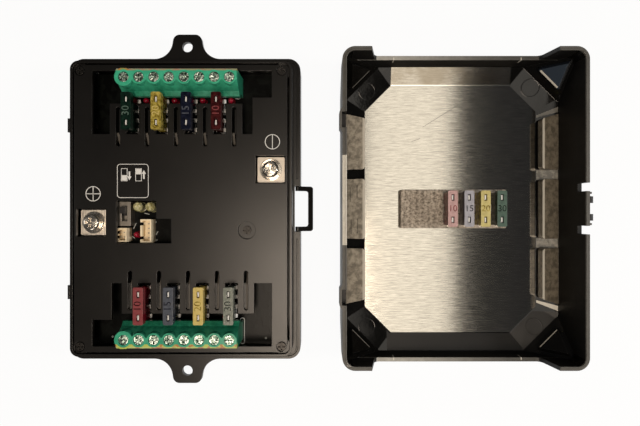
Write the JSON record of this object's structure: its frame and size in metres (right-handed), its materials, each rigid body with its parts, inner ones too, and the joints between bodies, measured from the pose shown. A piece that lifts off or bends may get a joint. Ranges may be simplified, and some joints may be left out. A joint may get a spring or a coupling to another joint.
{
  "type": "fuse box panel",
  "caption": "Wall fuse box shown open: base with fuses, screw terminals and power posts, and its cover with spare fuses beside it.",
  "frame": {"origin": "centre of the base's flat back face, which lies on the table", "axes": "+X towards the cover and the latch bail, +Y along the box towards the upper fuse row, +Z out of the base's front"},
  "size_m": [0.2752, 0.1906, 0.032],
  "materials": {
    "black_body_plastic": "fine satin grain",
    "board_laminate": "black solder mask with white print",
    "screw_steel": "dark zinc",
    "clip_metal": "tinned spring",
    "terminal_green": "moulded, slightly glossy",
    "cage_metal": "tinned",
    "terminal_screw_metal": "bright nickel",
    "post_nickel": "bright nickel, turned",
    "switch_black": "smooth",
    "header_ivory": "ivory",
    "lamp_clear": "clear lens",
    "lamp_red": "red lens",
    "cover_black": "polished",
    "liner_sheet": "brushed across",
    "pad_foam": "closed-cell foam",
    "fuse_red": "tinted clear, rated 10",
    "fuse_grey_blue": "tinted clear, rated 15",
    "fuse_navy": "tinted clear, rated 15",
    "fuse_yellow": "tinted clear, rated 20",
    "fuse_green": "tinted clear, rated 30",
    "fuse_dark_green": "tinted clear, rated 30",
    "fuse_metal": "zinc"
  },
  "bodies": {
    "base": {"base_tray": "black_body_plastic", "board_screws": "screw_steel", "circuit_board": "board_laminate", "four_pin_header": "header_ivory", "fuse_clips_bottom": "clip_metal", "fuse_clips_top": "clip_metal", "fuse_lamps": "lamp_red", "header_pins": "cage_metal", "inner_plate": "black_body_plastic", "negative_post": "post_nickel", "plate_screws": "screw_steel", "positive_post": "post_nickel", "post_screws": "post_nickel", "post_washers": "post_nickel", "slide_switch_frame": "switch_black", "status_lamps": "lamp_clear", "terminal_block_bottom": "terminal_green", "terminal_block_top": "terminal_green", "terminal_clamps_bottom": "cage_metal", "terminal_clamps_top": "cage_metal", "terminal_screws_bottom": "terminal_screw_metal", "terminal_screws_top": "terminal_screw_metal", "two_pin_header": "header_ivory"},
    "cover": {"cover_shell": "cover_black", "cover_liner": "liner_sheet", "spare_fuse_pad": "pad_foam"},
    "latch_bail": {"latch_bail": "black_body_plastic"},
    "switch_knob": {"slide_switch_knob": "switch_black"},
    "fuse_top_1": {"fuse_top_1_housing": "fuse_red", "fuse_top_1_element": "fuse_metal"},
    "fuse_top_2": {"fuse_top_2_housing": "fuse_navy", "fuse_top_2_element": "fuse_metal"},
    "fuse_top_3": {"fuse_top_3_housing": "fuse_yellow", "fuse_top_3_element": "fuse_metal"},
    "fuse_top_4": {"fuse_top_4_housing": "fuse_dark_green", "fuse_top_4_element": "fuse_metal"},
    "fuse_bottom_1": {"fuse_bottom_1_housing": "fuse_red", "fuse_bottom_1_element": "fuse_metal"},
    "fuse_bottom_2": {"fuse_bottom_2_housing": "fuse_grey_blue", "fuse_bottom_2_element": "fuse_metal"},
    "fuse_bottom_3": {"fuse_bottom_3_housing": "fuse_yellow", "fuse_bottom_3_element": "fuse_metal"},
    "fuse_bottom_4": {"fuse_bottom_4_housing": "fuse_green", "fuse_bottom_4_element": "fuse_metal"},
    "spare_fuse_1": {"spare_fuse_1_housing": "fuse_red", "spare_fuse_1_element": "fuse_metal"},
    "spare_fuse_2": {"spare_fuse_2_housing": "fuse_grey_blue", "spare_fuse_2_element": "fuse_metal"},
    "spare_fuse_3": {"spare_fuse_3_housing": "fuse_yellow", "spare_fuse_3_element": "fuse_metal"},
    "spare_fuse_4": {"spare_fuse_4_housing": "fuse_green", "spare_fuse_4_element": "fuse_metal"}
  },
  "joints": [
    {"name": "cover_lift", "type": "slide", "parent": "base", "child": "cover", "axis": [0, 0, 1], "range_m": [0, 0.1]},
    {"name": "bail_hinge", "type": "hinge", "parent": "base", "child": "latch_bail", "pos_m": [0.0609, 0, 0.0094], "axis": [0, -1, 0], "range_deg": [0, 90]},
    {"name": "switch_slide", "type": "slide", "parent": "base", "child": "switch_knob", "axis": [0, -1, 0], "range_m": [0, 0.004]},
    {"name": "fuse_top_1_pull", "type": "slide", "parent": "base", "child": "fuse_top_1", "axis": [0, 0, 1], "range_m": [0, 0.02]},
    {"name": "fuse_top_2_pull", "type": "slide", "parent": "base", "child": "fuse_top_2", "axis": [0, 0, 1], "range_m": [0, 0.02]},
    {"name": "fuse_top_3_pull", "type": "slide", "parent": "base", "child": "fuse_top_3", "axis": [0, 0, 1], "range_m": [0, 0.02]},
    {"name": "fuse_top_4_pull", "type": "slide", "parent": "base", "child": "fuse_top_4", "axis": [0, 0, 1], "range_m": [0, 0.02]},
    {"name": "fuse_bottom_1_pull", "type": "slide", "parent": "base", "child": "fuse_bottom_1", "axis": [0, 0, 1], "range_m": [0, 0.02]},
    {"name": "fuse_bottom_2_pull", "type": "slide", "parent": "base", "child": "fuse_bottom_2", "axis": [0, 0, 1], "range_m": [0, 0.02]},
    {"name": "fuse_bottom_3_pull", "type": "slide", "parent": "base", "child": "fuse_bottom_3", "axis": [0, 0, 1], "range_m": [0, 0.02]},
    {"name": "fuse_bottom_4_pull", "type": "slide", "parent": "base", "child": "fuse_bottom_4", "axis": [0, 0, 1], "range_m": [0, 0.02]},
    {"name": "spare_fuse_1_pull", "type": "slide", "parent": "cover", "child": "spare_fuse_1", "axis": [0, 0, 1], "range_m": [0, 0.02]},
    {"name": "spare_fuse_2_pull", "type": "slide", "parent": "cover", "child": "spare_fuse_2", "axis": [0, 0, 1], "range_m": [0, 0.02]},
    {"name": "spare_fuse_3_pull", "type": "slide", "parent": "cover", "child": "spare_fuse_3", "axis": [0, 0, 1], "range_m": [0, 0.02]},
    {"name": "spare_fuse_4_pull", "type": "slide", "parent": "cover", "child": "spare_fuse_4", "axis": [0, 0, 1], "range_m": [0, 0.02]}
  ]
}
